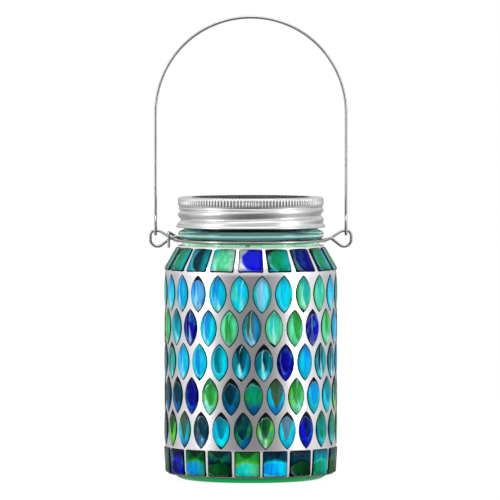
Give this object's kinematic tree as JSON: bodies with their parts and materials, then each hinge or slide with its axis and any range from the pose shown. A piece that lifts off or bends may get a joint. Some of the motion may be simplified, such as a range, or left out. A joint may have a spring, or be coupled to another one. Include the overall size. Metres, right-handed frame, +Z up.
{
  "type": "mason jar lantern",
  "caption": "Glass mason jar clad in leaf and square glass mosaic, with a wire bail handle and a screw-on lid that holds a solar lamp.",
  "frame": {"origin": "centre of the jar's foot ring, on the surface that it stands on", "axes": "+Z up along the jar's axis, X through the two eyes of the wire hanger, -Y towards the viewer of the picture"},
  "size_m": [0.1018, 0.0868, 0.2313],
  "materials": {
    "jar_glass": "gloss",
    "mosaic_glass": "gloss",
    "grout": "satin",
    "steel_wire": "satin",
    "tinplate": "satin",
    "gasket_rubber": "matte",
    "black_plastic": "matte",
    "solar_silicon": "gloss",
    "clear_plastic": "gloss",
    "zinc_steel": "satin",
    "battery_sleeve": "gloss",
    "nickel_strip": "satin",
    "board_green": "satin",
    "led_resin": "gloss",
    "lead_sleeve": "satin"
  },
  "bodies": {
    "jar": {"glass_jar": "jar_glass", "grout_net": "grout", "shoulder_tiles": "mosaic_glass", "leaf_tiles_row_1": "mosaic_glass", "leaf_tiles_row_2": "mosaic_glass", "leaf_tiles_row_3": "mosaic_glass", "leaf_tiles_row_4": "mosaic_glass", "leaf_tiles_row_5": "mosaic_glass", "base_tiles": "mosaic_glass", "hanger_collar": "steel_wire"},
    "bail": {"bail_handle": "steel_wire"},
    "gasket": {"lid_gasket": "gasket_rubber"},
    "solar_insert": {"insert_housing": "black_plastic", "solar_cell": "solar_silicon", "panel_cover": "clear_plastic", "insert_base": "black_plastic", "cover_screws": "zinc_steel", "battery_cell": "battery_sleeve", "battery_contacts": "nickel_strip", "circuit_board": "board_green", "led_lamp": "led_resin", "lens_dome": "clear_plastic", "switch_case": "black_plastic", "panel_leads": "lead_sleeve"},
    "band": {"screw_band": "tinplate"},
    "switch": {"switch_knob": "black_plastic"}
  },
  "joints": [
    {"name": "bail_swing", "type": "hinge", "parent": "jar", "child": "bail", "pos_m": [0, 0, 0.12392], "axis": [1, 0, 0], "range_deg": [-154, 154]},
    {"name": "lid_lift", "type": "slide", "parent": "jar", "child": "gasket", "axis": [0, 0, 1], "range_m": [0, 0.045]},
    {"name": "thread_rise", "type": "slide", "parent": "gasket", "child": "solar_insert", "axis": [0, 0, 1], "range_m": [0, 0.0077]},
    {"name": "band_turn", "type": "hinge", "parent": "solar_insert", "child": "band", "pos_m": [0, 0, 0.14087], "axis": [0, 0, 1], "range_deg": [0, 540]},
    {"name": "switch_slide", "type": "slide", "parent": "solar_insert", "child": "switch", "axis": [1, 0, 0], "range_m": [0, 0.003]}
  ],
  "couplings": [
    {"joint": "thread_rise", "follows": "band_turn", "m_per_rad": 0.00080851}
  ]
}
